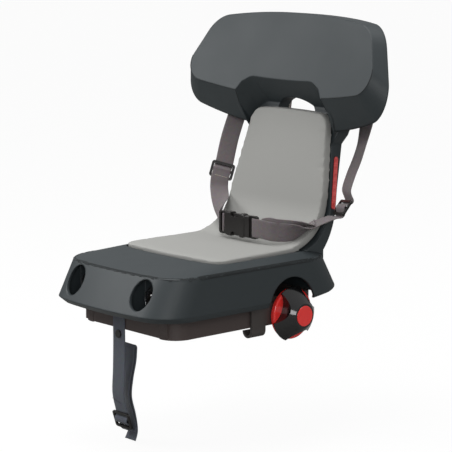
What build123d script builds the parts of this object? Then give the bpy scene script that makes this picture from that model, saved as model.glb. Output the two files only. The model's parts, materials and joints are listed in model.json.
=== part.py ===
from build123d import *
import os
from math import cos, radians, sin, tan

# Child bike seat for a luggage rack: seat shell, back shell with winged headrest, foam pad,
# harness with side-release buckle, safety strap and a screw-driven rack clamp.
# Millimetres. X runs to the child's left, Y to the rear, Z up.
# The origin is on the underside of the base, under the line of the clamp spindle.

os.makedirs("parts", exist_ok=True)

# Shell, seat part
wall = 4.0
lip_z = 31.0
low_crease_z = 39.0
top_crease_z = 92.0
deck_z = 100.0
seat_half = 134.0
seat_top_half = 131.0
lip_half = 130.0
seat_front = -268.0
seat_top_front = -238.0
lip_front = -259.0
seat_rear = 108.0
seat_top_rear = 80.0
front_bow = 13.0
top_bow = 9.0
corner_front = 55.0
corner_rear = 60.0
cavity_top_z = 88.0
top_round = 5.0
rear_cut_y = 12.0
rear_cut_rise = 16.0
rear_cut_run = 92.0

# Front ports in the shell
port_x = 74.5
port_z = 66.5
port_width = 39.0
port_height = 42.0
pocket_half = 24.0
pocket_floor_z = 35.0
pocket_rear = -217.0

# Knob arch in the left side of the shell
arch_front = -58.0
arch_rear = 30.0
arch_top = 71.0

# Pad
pad_t = 10.0
pad_face_z = 106.0
pad_front = -140.0
pad_bend_r = 75.0
pad_top_z = 298.0
pad_half_front = 110.0
pad_half_back = 102.0
pad_half_neck = 86.0
pad_half_top = 82.0
pad_fit = 0.3
recline = 12.8
back_foot = 65.0
back_extra = 6.0

# Back plate and scoop below the headrest; its sides follow the pad and its rear is a wedge
back_half = 103.0
back_foot_half = 111.5
back_low_half = 108.5
back_low_z = 150.0
neck_half = 86.0
neck_low_z = 248.0
neck_z = 262.0
fill_half = 94.0
back_top_z = 336.0
rear_foot_y = 68.5
rear_foot_z = 98.0
rear_low_y = 92.5
rear_low_z = 140.0
rear_mid_y = 106.0
rear_mid_z = 183.0
rear_neck_y = 135.2
rear_slope = 0.16
scoop_half = 97.0
scoop_z = 342.0
scoop_y = 86.0
window_half = 40.0
window_z = 293.0
window_rise = 20.0
rib_t = 3.0

# Headrest: two outlines, each with half-widths and heights; front face and rear are curved
face_tilt = 23.2
face_y = 71.5
face_z = 348.0
face_foot_half = 96.0
face_foot_z = 337.5
face_tip_half = 212.0
face_tip_z = 336.0
face_shoulder_half = 167.0
face_shoulder_z = 428.0
face_crown_z = 441.0
face_tip_r = 27.0
face_shoulder_r = 50.0
rim_tilt = 12.95
rim_y = 107.0
rim_z = 266.0
rim_foot_half = 97.0
rim_tip_half = 262.0
rim_tip_z = 262.0
rim_shoulder_half = 206.0
rim_shoulder_z = 425.0
rim_crown_z = 438.0
rim_tip_r = 43.0
rim_shoulder_r = 60.0
rim_deep = 14.0
head_wall = 4.6
curve_half = 270.0
curve_low_z = 250.0
curve_high_z = 460.0
front_low_y = 61.7
front_low_dish = 54.9
front_high_y = 119.9
front_high_dish = 5.8
back_low_y = 108.0
back_high_y = 150.6
back_dish = 51.5
head_rib_deep = 8.0

# Mount base
base_half = 107.0
base_front = -217.0
base_rear = 49.0
base_top = 40.0
base_floor = 4.0
base_corner = 28.0
base_rear_corner = 10.0
cover_half = 76.0
cover_t = 3.0
post_x = 40.0
post_y = 30.0
post_r = 9.0
post_z = 44.0
screw_r = 2.5
screw_head_r = 5.0
upright_half = 20.0
upright_t = 8.0
upright_top = 80.0

# Front bolts
bolt_x = 73.0
bolt_z = 56.0
bolt_r = 4.0
cup_r = 20.0

# Clamp
axis_z = 13.0
spindle_r = 5.0
turn_fit = 0.05
plate_t = 4.0
knob_r = 41.0
knob_rim = 1.5
knob_end_r = 18.0
scallop_r = 30.0
scallop_far = 54.0
collar_r = 38.0
collar_in = base_half + plate_t + 0.3
knob_in = collar_in + 8.7
knob_out = knob_in + 24.0
cap_r = 15.0
jaw_t = 8.0
jaw_front = -74.0
jaw_rear = 40.0
jaw_top = 32.0
jaw_gap = 0.4
jaw_travel = 40.0
claw_front = -60.0
claw_rear = 26.0
claw_half = 13.5
tube_r = 6.0
tube_drop = 6.2
claw_t = 4.0
tube_x = base_half - tube_r
jaw_screw_front = -50.0
jaw_screw_rear = 34.0
jaw_screw_z = 22.0
jaw_screw_r = 2.0
nut_wide = 16.0
nut_deep = 8.0

# Reflector strips in the sides of the back plate
reflector_long = 80.0
reflector_wide = 7.4
reflector_set = 1.2
reflector_y = 103.3
reflector_z = 193.0
reflector_lean = 0.3

# Strap anchors behind the headrest
anchor_x = 50.0
anchor_z = 324.0
anchor_r = 3.0

# Webbing
web_w = 28.0
web_t = 1.6
glide_w = 37.0
glide_bar = 11.0
glide_t = 3.2

# Buckle, standing on the pad in the middle of the seat
buckle_x = 4.0
buckle_y = 0.0
buckle_z = 129.5

t = radians(recline)
turn = radians(90 - recline)
jaw_mid = (jaw_front + jaw_rear) / 2
jaw_long = jaw_rear - jaw_front
jaw_screw_places = (jaw_screw_front, jaw_screw_rear)
claw_places = (claw_front, claw_rear)
side_slope = (back_low_half - neck_half) / (neck_low_z - back_low_z)


def back_y(z, deep):
    """Y at height z, a given depth behind the front face of the pad's back."""
    return back_foot + (z - pad_face_z) * tan(t) + deep / cos(t)


def plan(z, half, front, rear, bow, r_front, r_rear):
    """Outline of the seat part at height z, with a bowed front edge."""
    with BuildSketch(Plane.XY.offset(z)) as s:
        with BuildLine():
            ThreePointArc((-half, front + bow), (0, front), (half, front + bow))
            Polyline((half, front + bow), (half, rear), (-half, rear), (-half, front + bow))
        make_face()
        fillet(s.vertices().sort_by(Axis.Y)[:2], r_front)
        fillet(s.vertices().sort_by(Axis.Y)[-2:], r_rear)
    return s.sketch


def leaning(y, z, tilt):
    """Plane across the seat that leans back by tilt degrees, its normal to the rear."""
    a = radians(tilt)
    return Plane(origin=(0, y, z), x_dir=(-1, 0, 0), z_dir=(0, cos(a), -sin(a)))


def wing(plane, z0, tilt, foot, tip, shoulder, crown, r_tip, r_shoulder):
    """Outline of the headrest; foot, tip and shoulder are half-width and height."""
    k = 1 / cos(radians(tilt))
    a, b, c = [(p[0], (p[1] - z0) * k) for p in (foot, tip, shoulder)]
    with BuildSketch(plane) as s:
        with BuildLine():
            Polyline((-c[0], c[1]), (-b[0], b[1]), (-a[0], a[1]), a, b, c)
            ThreePointArc(c, (0, (crown - z0) * k), (-c[0], c[1]))
        make_face()
        fillet(s.vertices().filter_by_position(Axis.X, b[0] - 1, b[0] + 1), r_tip)
        fillet(s.vertices().filter_by_position(Axis.X, -b[0] - 1, -b[0] + 1), r_tip)
        fillet(s.vertices().filter_by_position(Axis.X, c[0] - 1, c[0] + 1), r_shoulder)
        fillet(s.vertices().filter_by_position(Axis.X, -c[0] - 1, -c[0] + 1), r_shoulder)
    return s.sketch


def rear_y(z):
    """Y of the rear of the back plate at height z, above the neck."""
    return rear_neck_y + (z - neck_z) * rear_slope


def curved(z, mid_y, dish, far_y):
    """Flat shape at height z from a curve across the headrest to a straight edge at far_y."""
    with BuildSketch(Plane.XY.offset(z)) as s:
        with BuildLine():
            ThreePointArc((-curve_half, mid_y - dish), (0, mid_y), (curve_half, mid_y - dish))
            Polyline(
                (curve_half, mid_y - dish),
                (curve_half, far_y),
                (-curve_half, far_y),
                (-curve_half, mid_y - dish),
            )
        make_face()
    return s.sketch


def head_front(deep):
    """Sections of all that lies in front of the headrest's face, moved back by deep."""
    return [
        curved(curve_low_z, front_low_y + deep, front_low_dish, -100),
        curved(curve_high_z, front_high_y + deep, front_high_dish, -100),
    ]


def wing_pair(inset):
    """Front and rear outline of the headrest, drawn in by inset."""
    front = wing(
        leaning(face_y, face_z, face_tilt),
        face_z,
        face_tilt,
        (face_foot_half - inset, face_foot_z + inset),
        (face_tip_half - 1.6 * inset, face_tip_z + inset),
        (face_shoulder_half - inset, face_shoulder_z - inset),
        face_crown_z - inset,
        face_tip_r - 0.8 * inset,
        face_shoulder_r - inset,
    )
    rear = wing(
        leaning(rim_y, rim_z, rim_tilt),
        rim_z,
        rim_tilt,
        (rim_foot_half - inset, rim_z + inset),
        (rim_tip_half - 1.6 * inset, rim_tip_z + inset),
        (rim_shoulder_half - inset, rim_shoulder_z - inset),
        rim_crown_z - inset,
        rim_tip_r - 0.8 * inset,
        rim_shoulder_r - inset,
    )
    return front, rear


def reflector_plane(side):
    """Plane on a side wall of the back plate, facing out, its X axis up the wall."""
    half = back_low_half - (reflector_z - back_low_z) * side_slope
    return Plane(
        origin=(side * half, reflector_y, reflector_z),
        x_dir=(-side * side_slope, reflector_lean, 1),
        z_dir=(side, 0, side_slope),
    )


def pad_profile(inner, outer, front, top):
    """Side view of the bent pad between two depths from its front face; its back is thicker."""
    mid_z = pad_face_z + pad_bend_r
    lines = []
    for deep, forward in ((inner, back_extra), (outer, 0)):
        r = pad_bend_r + deep
        bend = back_foot - forward - pad_bend_r * tan(turn / 2)
        lines.append(
            [
                (front, pad_face_z - deep),
                (bend, pad_face_z - deep),
                (bend + r * sin(turn / 2), mid_z - r * cos(turn / 2)),
                (bend + r * cos(t), mid_z - r * sin(t)),
                (back_y(top, deep) - forward, top),
            ]
        )
    (a0, a1, a2, a3, a4), (b0, b1, b2, b3, b4) = lines
    with BuildSketch(Plane.YZ) as s:
        with BuildLine():
            Line(a0, a1)
            ThreePointArc(a1, a2, a3)
            Polyline(a3, a4, b4, b3)
            ThreePointArc(b3, b2, b1)
            Polyline(b1, b0, a0)
        make_face()
    return s.sketch


def pad_plan(grow):
    """Plan outline of the pad, wider at the front of the seat."""
    with BuildSketch(Plane.XY.offset(pad_face_z - 40)) as s:
        with BuildLine():
            ThreePointArc(
                (-pad_half_front - grow, pad_front + 5 - grow),
                (0, pad_front - 3 - grow),
                (pad_half_front + grow, pad_front + 5 - grow),
            )
            Polyline(
                (pad_half_front + grow, pad_front + 5 - grow),
                (pad_half_back + 2 + grow, 60),
                (pad_half_back + 2 + grow, 220),
                (-pad_half_back - 2 - grow, 220),
                (-pad_half_back - 2 - grow, 60),
                (-pad_half_front - grow, pad_front + 5 - grow),
            )
        make_face()
        fillet(s.vertices().sort_by(Axis.Y)[:2], 22)
    return s.sketch


def pad_front_view(grow):
    """Front outline of the pad: wide at the seat, narrowing to a rounded top."""
    half = pad_half_back + grow
    neck = pad_half_neck + grow
    high = pad_half_top + grow
    top = pad_top_z + grow
    with BuildSketch(Plane.XZ) as s:
        with BuildLine():
            Polyline((-neck, 270), (-half, 182), (-half - 2, 150), (-150, 140), (-150, 40), (150, 40))
            Polyline((150, 40), (150, 140), (half + 2, 150), (half, 182), (neck, 270), (high, top - 3))
            ThreePointArc((high, top - 3), (0, top), (-high, top - 3))
            Line((-high, top - 3), (-neck, 270))
        make_face()
        fillet(s.vertices().sort_by(Axis.Y)[-2:], 26)
        fillet(s.vertices().filter_by_position(Axis.X, half - 0.1, half + 0.1), 60)
        fillet(s.vertices().filter_by_position(Axis.X, -half - 0.1, -half + 0.1), 60)
    return s.sketch


def ring_loft(points, across, width, thick):
    """Cross sections of a strap along its points, each square to the path."""
    places = [Vector(*p) for p in points]
    sections = []
    for i, here in enumerate(places):
        before = places[max(i - 1, 0)]
        after = places[min(i + 1, len(places) - 1)]
        along = (after - before).normalized()
        side = Vector(*across[i])
        side = (side - along * side.dot(along)).normalized()
        with BuildSketch(Plane(origin=here, x_dir=side, z_dir=along)) as s:
            Rectangle(width, thick)
        sections.append(s.sketch)
    return sections


def band(points, thick):
    """Closed outline of a strip of even thickness that follows flat points."""
    near, far = [], []
    for i, (u, v) in enumerate(points):
        before = points[max(i - 1, 0)]
        after = points[min(i + 1, len(points) - 1)]
        along = Vector(after[0] - before[0], after[1] - before[1]).normalized()
        near.append((u - along.Y * thick / 2, v + along.X * thick / 2))
        far.append((u + along.Y * thick / 2, v - along.X * thick / 2))
    return near + far[::-1]


def glide_frame(origin, along, side):
    """Centre, run, sideways and normal vectors of a slider."""
    run = Vector(*along).normalized()
    across = Vector(*side)
    across = (across - run * across.dot(run)).normalized()
    return Vector(*origin), run, across, run.cross(across)


def weave(frame, facing, ease, leave):
    """Strap points through a slider: behind, over the middle bar, then behind (-1) or in front (1)."""
    centre, run, across, normal = frame
    if normal.dot(Vector(*facing)) < 0:
        normal = normal * -1
    lift = glide_t / 2 + web_t / 2 + 0.35
    steps = [(-15, -lift - ease), (-8.5, -lift), (-2.5, lift), (2.5, lift)]
    steps += [(8.5, leave * lift), (15, leave * lift)]
    return [tuple(centre + run * s + normal * h) for s, h in steps]


# Outlines of the shell
lip = plan(lip_z, lip_half, lip_front, seat_rear - 6, front_bow, corner_front, corner_rear)
low = plan(low_crease_z, seat_half, seat_front, seat_rear, front_bow, corner_front, corner_rear)
high = plan(top_crease_z, seat_top_half, seat_top_front, seat_top_rear, top_bow, 50, corner_rear)
deck = plan(deck_z, pad_half_front + 1, pad_front - 6, 62, 6, 24, 40)
in_lip = plan(lip_z - 1, lip_half - wall, lip_front + 5, seat_rear - 11, front_bow, 50, 56)
in_low = plan(low_crease_z, seat_half - wall, seat_front + 5, seat_rear - 5, front_bow, 51, 56)
in_high = plan(cavity_top_z, seat_top_half - wall, seat_top_front + 3, seat_top_rear - 3, top_bow, 46, 56)

face_out, rim_out = wing_pair(0)
face_in, rim_in = wing_pair(head_wall)

# Space inside the seat part
with BuildPart() as seat_space:
    loft([in_lip, in_low], ruled=True)
    loft([in_low, in_high], ruled=True)

# Hollow of the seat part, less the posts and the cross wall that stand in it
with BuildPart() as seat_hollow:
    add(seat_space.part)
    with BuildSketch(Plane.XY.offset(post_z)):
        with Locations((-post_x, post_y), (post_x, post_y)):
            Circle(post_r)
    extrude(amount=cavity_top_z - post_z + 4, mode=Mode.SUBTRACT)
    with BuildSketch(Plane.XY.offset(lip_z - 2)):
        with Locations((0, base_rear + 3 + wall / 2)):
            Rectangle(2 * seat_half, wall)
    extrude(amount=cavity_top_z - lip_z + 4, mode=Mode.SUBTRACT)

# Shallow ribs behind the face of the headrest
with BuildPart() as head_ribs:
    with BuildSketch(Plane.XY.offset(curve_low_z)):
        with Locations([(x, 90) for x in (-165, -130, 130, 165)]):
            Rectangle(rib_t, 140)
    extrude(amount=curve_high_z - curve_low_z)
    with BuildSketch(Plane.XZ.offset(-20)):
        with Locations((0, 385), (0, 415)):
            Rectangle(2 * curve_half, rib_t)
    extrude(amount=-140)
    loft(head_front(head_wall + head_rib_deep), ruled=True, mode=Mode.INTERSECT)

# Hollow of the headrest, less its ribs
with BuildPart() as head_hollow:
    loft([face_in, rim_in], ruled=True)
    extrude(rim_in, amount=rim_deep + 6)
    loft(head_front(head_wall), ruled=True, mode=Mode.SUBTRACT)
    add(head_ribs.part, mode=Mode.SUBTRACT)

# Space the pad lies in
with BuildPart() as pad_space:
    extrude(pad_profile(0 - 30, pad_t + pad_fit, pad_front - 20, pad_top_z + 20), amount=160, both=True)
    extrude(pad_plan(pad_fit), amount=300, mode=Mode.INTERSECT)
    extrude(pad_front_view(pad_fit), amount=300, both=True, mode=Mode.INTERSECT)

# Space of the scoop: it slopes down to the rear and ends at the face of the back plate
with BuildSketch(Plane.XZ.offset(-scoop_y)) as scoop_view:
    with BuildLine():
        Polyline((-66, scoop_z), (66, scoop_z), (84, 328), (scoop_half, 302), (fill_half - 5, 262))
        Polyline((fill_half - 5, 262), (fill_half - 5, 200), (5 - fill_half, 200), (5 - fill_half, 262))
        Polyline((5 - fill_half, 262), (-scoop_half, 302), (-84, 328), (-66, scoop_z))
    make_face()
    fillet(scoop_view.vertices().filter_by_position(Axis.Y, 310, 400), 16)

with BuildPart() as scoop_space:
    extrude(scoop_view.sketch, amount=60, dir=(0, -25, 30))
    extrude(scoop_view.sketch, amount=80, dir=(0, 25, -30))
    with BuildSketch(Plane.YZ):
        with BuildLine():
            Polyline(
                (back_y(150, pad_t), 150),
                (back_y(400, pad_t), 400),
                (0, 400),
                (0, 150),
                (back_y(150, pad_t), 150),
            )
        make_face()
    extrude(amount=160, both=True, mode=Mode.INTERSECT)

# Back plate: side view, then cut to its front view
bend_y = back_foot - pad_bend_r * tan(turn / 2)
mid_z = pad_face_z + pad_bend_r
under = pad_t + pad_fit
half_r = pad_bend_r + under
with BuildPart() as back_plate:
    with BuildSketch(Plane.YZ):
        with BuildLine():
            Polyline((bend_y - 8, 84), (bend_y - 8, pad_face_z - under), (bend_y, pad_face_z - under))
            ThreePointArc(
                (bend_y, mid_z - half_r),
                (bend_y + half_r * sin(turn / 2), mid_z - half_r * cos(turn / 2)),
                (bend_y + half_r * cos(t), mid_z - half_r * sin(t)),
            )
            Polyline(
                (bend_y + half_r * cos(t), mid_z - half_r * sin(t)),
                (back_y(246, under), 246),
                (rim_y + 1, rim_z - 6),
                (79, 317),
                (92, 347),
                (112, back_top_z),
                (rear_y(back_top_z), back_top_z),
                (rear_neck_y, neck_z),
                (rear_mid_y, rear_mid_z),
                (rear_low_y, rear_low_z),
            )
            ThreePointArc(
                (rear_low_y, rear_low_z),
                ((rear_low_y + rear_foot_y) / 2 + 3, (rear_low_z + rear_foot_z) / 2),
                (rear_foot_y, rear_foot_z),
            )
            Polyline((rear_foot_y, rear_foot_z), (rear_foot_y, 84), (bend_y - 8, 84))
        make_face()
    extrude(amount=back_foot_half + 10, both=True)
    with BuildSketch(Plane.XZ):
        with BuildLine():
            side_line = [
                (back_foot_half, 80),
                (back_foot_half, rear_foot_z),
                (back_low_half, back_low_z),
                (neck_half, neck_low_z),
                (fill_half, neck_z),
                (back_half, neck_z + 26),
                (back_half, 360),
            ]
            Polyline(*side_line, *[(-x, z) for x, z in side_line[::-1]], close=True)
        make_face()
    extrude(amount=300, both=True, mode=Mode.INTERSECT)

# Outer form of the seat part
with BuildPart() as seat_block:
    loft([lip, low], ruled=True)
    loft([low, high], ruled=True)
    loft([high, deck], ruled=True)
    crease = seat_block.edges().filter_by_position(Axis.Z, top_crease_z - 0.1, top_crease_z + 0.1)
    fillet(crease, min(top_round, 0.25 * (seat_top_half - pad_half_front - 1)))

with BuildPart() as seat_shell:
    add(seat_block.part)
    add(pad_space.part, mode=Mode.SUBTRACT)
    add(seat_hollow.part, mode=Mode.SUBTRACT)
    # Oval ports in the front
    with BuildSketch(Plane.XZ.offset(290)):
        with Locations((-port_x, port_z), (port_x, port_z)):
            Ellipse(port_width / 2, port_height / 2)
    extrude(amount=-60, mode=Mode.SUBTRACT)
    # Arch for the clamp knob, and the rising rear edge
    with BuildSketch(Plane.YZ):
        with BuildLine():
            Polyline((arch_rear, lip_z - 5), (arch_front, lip_z - 5), (arch_front, lip_z + 2))
            ThreePointArc(
                (arch_front, lip_z + 2),
                ((arch_front + arch_rear) / 2, arch_top),
                (arch_rear, lip_z + 2),
            )
            Line((arch_rear, lip_z + 2), (arch_rear, lip_z - 5))
        make_face()
    extrude(amount=200, mode=Mode.SUBTRACT)
    with BuildSketch(Plane.YZ):
        with BuildLine():
            Polyline(
                (rear_cut_y, lip_z - 5),
                (rear_cut_y, lip_z),
                (rear_cut_y + rear_cut_run, lip_z + rear_cut_rise),
                (rear_cut_y + rear_cut_run + 40, lip_z + rear_cut_rise),
                (rear_cut_y + rear_cut_run + 40, lip_z - 5),
                (rear_cut_y, lip_z - 5),
            )
        make_face()
    extrude(amount=200, both=True, mode=Mode.SUBTRACT)
    # Screw holes in the posts
    with BuildSketch(Plane.XY.offset(post_z)):
        with Locations((-post_x, post_y), (post_x, post_y)):
            Circle(screw_r + turn_fit)
    extrude(amount=18, mode=Mode.SUBTRACT)
seat_shell.part.label = "seat_shell"
export_step(seat_shell.part, "parts/seat_shell.step")

# Back plate and headrest, standing on the seat part
with BuildPart() as back_shell:
    loft([face_out, rim_out], ruled=True)
    extrude(rim_out, amount=rim_deep)
    # Curved face and rear, so the wings come forward
    loft(head_front(0), ruled=True, mode=Mode.SUBTRACT)
    loft(
        [
            curved(curve_low_z, back_low_y, back_dish, 300),
            curved(curve_high_z, back_high_y, back_dish, 300),
        ],
        ruled=True,
        mode=Mode.SUBTRACT,
    )
    add(head_hollow.part, mode=Mode.SUBTRACT)
    add(back_plate.part)
    add(scoop_space.part, mode=Mode.SUBTRACT)
    add(pad_space.part, mode=Mode.SUBTRACT)

    # Arched window above the pad, where the strap tabs show
    with BuildSketch(Plane.XZ.offset(-back_y(window_z, pad_t) + 20)):
        with Locations((0, window_z)):
            Ellipse(window_half, window_rise)
    extrude(amount=-60, mode=Mode.SUBTRACT)
    # Pockets in the rear of the back plate, with ribs between them
    with BuildSketch(leaning(back_y(205, under + wall), 205, recline)):
        with GridLocations((neck_half - 7) / 2, 52, 4, 2):
            RectangleRounded((neck_half - 7) / 2 - rib_t, 52 - rib_t, 5)
    extrude(amount=60, mode=Mode.SUBTRACT)
    add(seat_block.part, mode=Mode.SUBTRACT)
    # Recesses for the reflectors, holes for the strap anchors
    for side in (-1, 1):
        with BuildSketch(reflector_plane(side)):
            SlotOverall(reflector_long, reflector_wide)
        extrude(amount=-reflector_set, mode=Mode.SUBTRACT)
        with BuildSketch(Plane.XZ.offset(-back_y(anchor_z, under) + 5)):
            with Locations((side * anchor_x, anchor_z)):
                Circle(anchor_r + 0.2)
        extrude(amount=-60, mode=Mode.SUBTRACT)
back_shell.part.label = "back_shell"
export_step(back_shell.part, "parts/back_shell.step")

with BuildPart() as comfort_pad:
    extrude(pad_profile(0, pad_t, pad_front - 20, pad_top_z + 20), amount=160, both=True)
    extrude(pad_plan(0), amount=300, mode=Mode.INTERSECT)
    extrude(pad_front_view(0), amount=300, both=True, mode=Mode.INTERSECT)
comfort_pad.part.label = "comfort_pad"
export_step(comfort_pad.part, "parts/comfort_pad.step")

# Tray that rests on the rack and carries the clamp
with BuildPart() as mount_base:
    with BuildSketch() as tray:
        with Locations((0, (base_front + base_rear) / 2)):
            Rectangle(2 * base_half, base_rear - base_front)
        fillet(tray.vertices().sort_by(Axis.Y)[:2], base_corner)
        fillet(tray.vertices().sort_by(Axis.Y)[-2:], base_rear_corner)
    extrude(amount=base_top)
    with BuildSketch(Plane.XY.offset(base_floor)) as inside:
        with Locations((0, (base_front + base_rear + 3) / 2)):
            Rectangle(2 * (base_half - wall), base_rear - base_front - 2 * wall - 3)
        fillet(inside.vertices().sort_by(Axis.Y)[:2], base_corner - wall)
        fillet(inside.vertices().sort_by(Axis.Y)[-2:], base_rear_corner - wall)
    extrude(amount=base_top, mode=Mode.SUBTRACT)
    with BuildSketch(Plane.XY.offset(base_floor - 1)):
        with Locations((-bolt_x, base_front + upright_t / 2), (bolt_x, base_front + upright_t / 2)):
            Rectangle(2 * upright_half, upright_t)
    extrude(amount=upright_top - base_floor + 1)
    with BuildSketch(Plane.XY.offset(base_floor - 1)):
        with Locations((-post_x, post_y), (post_x, post_y)):
            Circle(post_r)
    extrude(amount=post_z - base_floor + 1)
    # Low stiffening ribs across the floor, clear of the moving jaw
    with BuildSketch(Plane.XY.offset(base_floor - 1)):
        with Locations((0, -170), (0, -130), (0, -90)):
            Rectangle(2 * (base_half - wall) + 2, rib_t)
        with Locations((-50, -150), (50, -150)):
            Rectangle(rib_t, 124)
    extrude(amount=5)
    # Holes for the screws from below and for the front bolts
    with BuildSketch():
        with Locations((-post_x, post_y), (post_x, post_y)):
            Circle(screw_r + 0.3)
    extrude(amount=post_z + 1, mode=Mode.SUBTRACT)
    with BuildSketch():
        with Locations((-post_x, post_y), (post_x, post_y)):
            Circle(screw_head_r + 0.5)
    extrude(amount=8, mode=Mode.SUBTRACT)
    with BuildSketch(Plane.XZ.offset(-base_front)):
        with Locations((-bolt_x, bolt_z), (bolt_x, bolt_z)):
            Circle(bolt_r + 0.3)
    extrude(amount=-upright_t - 1, mode=Mode.SUBTRACT)
    # Seat of the front cover
    with BuildSketch(Plane.XZ.offset(-base_front)):
        with Locations((0, base_top / 2)):
            Rectangle(2 * cover_half, base_top + 1)
    extrude(amount=-cover_t, mode=Mode.SUBTRACT)
    # Bearing of the spindle, window and slots of the moving jaw, jaw screw holes
    with BuildSketch(Plane.YZ.offset(base_half - wall - 1)):
        with Locations((0, axis_z)):
            Circle(spindle_r + turn_fit)
    extrude(amount=wall + 2, mode=Mode.SUBTRACT)
    with BuildSketch(Plane.YZ.offset(base_half - wall - 1)):
        with Locations([(y, jaw_screw_z) for y in jaw_screw_places]):
            Circle(jaw_screw_r + 0.2)
    extrude(amount=wall + 2, mode=Mode.SUBTRACT)
    with BuildSketch(Plane.YZ.offset(-base_half - 1)):
        with Locations((jaw_mid, (base_floor + jaw_top + 1) / 2)):
            Rectangle(jaw_long + 2, jaw_top + 1 - base_floor)
    extrude(amount=wall + 2, mode=Mode.SUBTRACT)
    with BuildSketch(Plane.XY.offset(-1)):
        with Locations([(-base_half - plate_t + (jaw_travel + jaw_t) / 2, y) for y in claw_places]):
            Rectangle(jaw_travel + jaw_t + 2, 2 * claw_half + 2 * jaw_gap)
    extrude(amount=base_floor + 2, mode=Mode.SUBTRACT)
mount_base.part.label = "mount_base"
export_step(mount_base.part, "parts/mount_base.step")

with BuildPart() as base_front_cover:
    with BuildSketch(Plane.XZ.offset(-base_front)):
        with Locations((0, base_top / 2 + 0.5)):
            Rectangle(2 * cover_half - 1, base_top - 1)
    extrude(amount=-cover_t)
base_front_cover.part.label = "base_front_cover"
export_step(base_front_cover.part, "parts/base_front_cover.step")


def claw_sketch(plane, side):
    """Half ring under the rack tube and the neck beside it."""
    with BuildSketch(plane) as s:
        with Locations((side * tube_x, -tube_drop)):
            Circle(tube_r + claw_t)
        with Locations((side * tube_x, 20 - tube_drop)):
            Rectangle(60, 40, mode=Mode.SUBTRACT)
        with Locations((side * (tube_x + tube_r + claw_t / 2), -tube_drop / 2)):
            Rectangle(claw_t, tube_drop)
        with Locations((side * tube_x, -tube_drop)):
            Circle(tube_r, mode=Mode.SUBTRACT)
    return s.sketch


def tooth_sketch(centre):
    """Notches that leave teeth under a claw."""
    with BuildSketch(Plane.YZ) as s:
        with Locations([(centre + dy, -tube_drop - tube_r - claw_t) for dy in (-9, -3, 3, 9)]):
            Rectangle(3, 3, rotation=45)
    return s.sketch


with BuildPart() as clamp_jaw_fixed:
    with BuildSketch(Plane.YZ.offset(base_half)):
        with Locations((jaw_mid, jaw_top / 2)):
            RectangleRounded(jaw_long, jaw_top, 5)
    extrude(amount=plate_t)
    for y in claw_places:
        extrude(claw_sketch(Plane.XZ.offset(-y), 1), amount=claw_half, both=True)
        with BuildSketch(Plane.XY):
            with Locations((base_half + plate_t / 2 - 0.25, y)):
                Rectangle(plate_t - 0.5, 2 * claw_half)
        extrude(amount=6)
        extrude(tooth_sketch(y), amount=120, mode=Mode.SUBTRACT)
    with BuildSketch(Plane.YZ.offset(base_half)):
        with Locations((0, axis_z)):
            Circle(spindle_r + 0.4)
    extrude(amount=plate_t, mode=Mode.SUBTRACT)
    with BuildSketch(Plane.YZ.offset(base_half)):
        with Locations([(y, jaw_screw_z) for y in jaw_screw_places]):
            Circle(jaw_screw_r + turn_fit)
    extrude(amount=plate_t - 1, mode=Mode.SUBTRACT)
clamp_jaw_fixed.part.label = "clamp_jaw_fixed"
export_step(clamp_jaw_fixed.part, "parts/clamp_jaw_fixed.step")

with BuildPart() as clamp_jaw_moving:
    with BuildSketch(Plane.YZ.offset(-base_half - plate_t)):
        with Locations((jaw_mid, (base_floor + jaw_gap + jaw_top) / 2)):
            Rectangle(jaw_long, jaw_top - base_floor - jaw_gap)
    extrude(amount=jaw_t)
    with BuildSketch(Plane.YZ.offset(-base_half - plate_t + jaw_t)):
        with Locations((0, axis_z + jaw_gap / 2)):
            Rectangle(26, 2 * (axis_z - base_floor) - jaw_gap)
    extrude(amount=nut_deep + 7)
    for y in claw_places:
        extrude(claw_sketch(Plane.XZ.offset(-y), -1), amount=claw_half, both=True)
        with BuildSketch(Plane.XY.offset(-0.5)):
            with Locations((-tube_x - tube_r - claw_t / 2, y)):
                Rectangle(claw_t, 2 * claw_half)
        extrude(amount=base_floor + 2)
        extrude(tooth_sketch(y), amount=-120, mode=Mode.SUBTRACT)
    with BuildSketch(Plane.YZ.offset(-base_half - plate_t)):
        with Locations((0, axis_z)):
            Circle(spindle_r + 0.5)
    extrude(amount=40, mode=Mode.SUBTRACT)
    with BuildSketch(Plane.YZ.offset(-base_half - plate_t + jaw_t + 7)):
        with Locations((0, axis_z)):
            Rectangle(nut_wide, nut_wide)
    extrude(amount=nut_deep, mode=Mode.SUBTRACT)
clamp_jaw_moving.part.label = "clamp_jaw_moving"
export_step(clamp_jaw_moving.part, "parts/clamp_jaw_moving.step")

with BuildPart() as clamp_nut:
    with BuildSketch(Plane.YZ.offset(-base_half - plate_t + jaw_t + 7)):
        with Locations((0, axis_z)):
            Rectangle(nut_wide, nut_wide)
            Circle(spindle_r + turn_fit, mode=Mode.SUBTRACT)
    extrude(amount=nut_deep)
clamp_nut.part.label = "clamp_nut"
export_step(clamp_nut.part, "parts/clamp_nut.step")

# Parts that turn with the knob
with BuildPart() as clamp_spindle:
    with BuildSketch(Plane.YZ.offset(-base_half - plate_t + 2)):
        with Locations((0, axis_z)):
            Circle(spindle_r)
    extrude(amount=knob_out - 4 + base_half + plate_t - 2)
clamp_spindle.part.label = "clamp_spindle"
export_step(clamp_spindle.part, "parts/clamp_spindle.step")

with BuildPart() as spindle_clip:
    with BuildSketch(Plane.YZ.offset(base_half - wall - 3)):
        with Locations((0, axis_z)):
            Circle(spindle_r + 4)
            Circle(spindle_r, mode=Mode.SUBTRACT)
    extrude(amount=2.7)
spindle_clip.part.label = "spindle_clip"
export_step(spindle_clip.part, "parts/spindle_clip.step")

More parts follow.
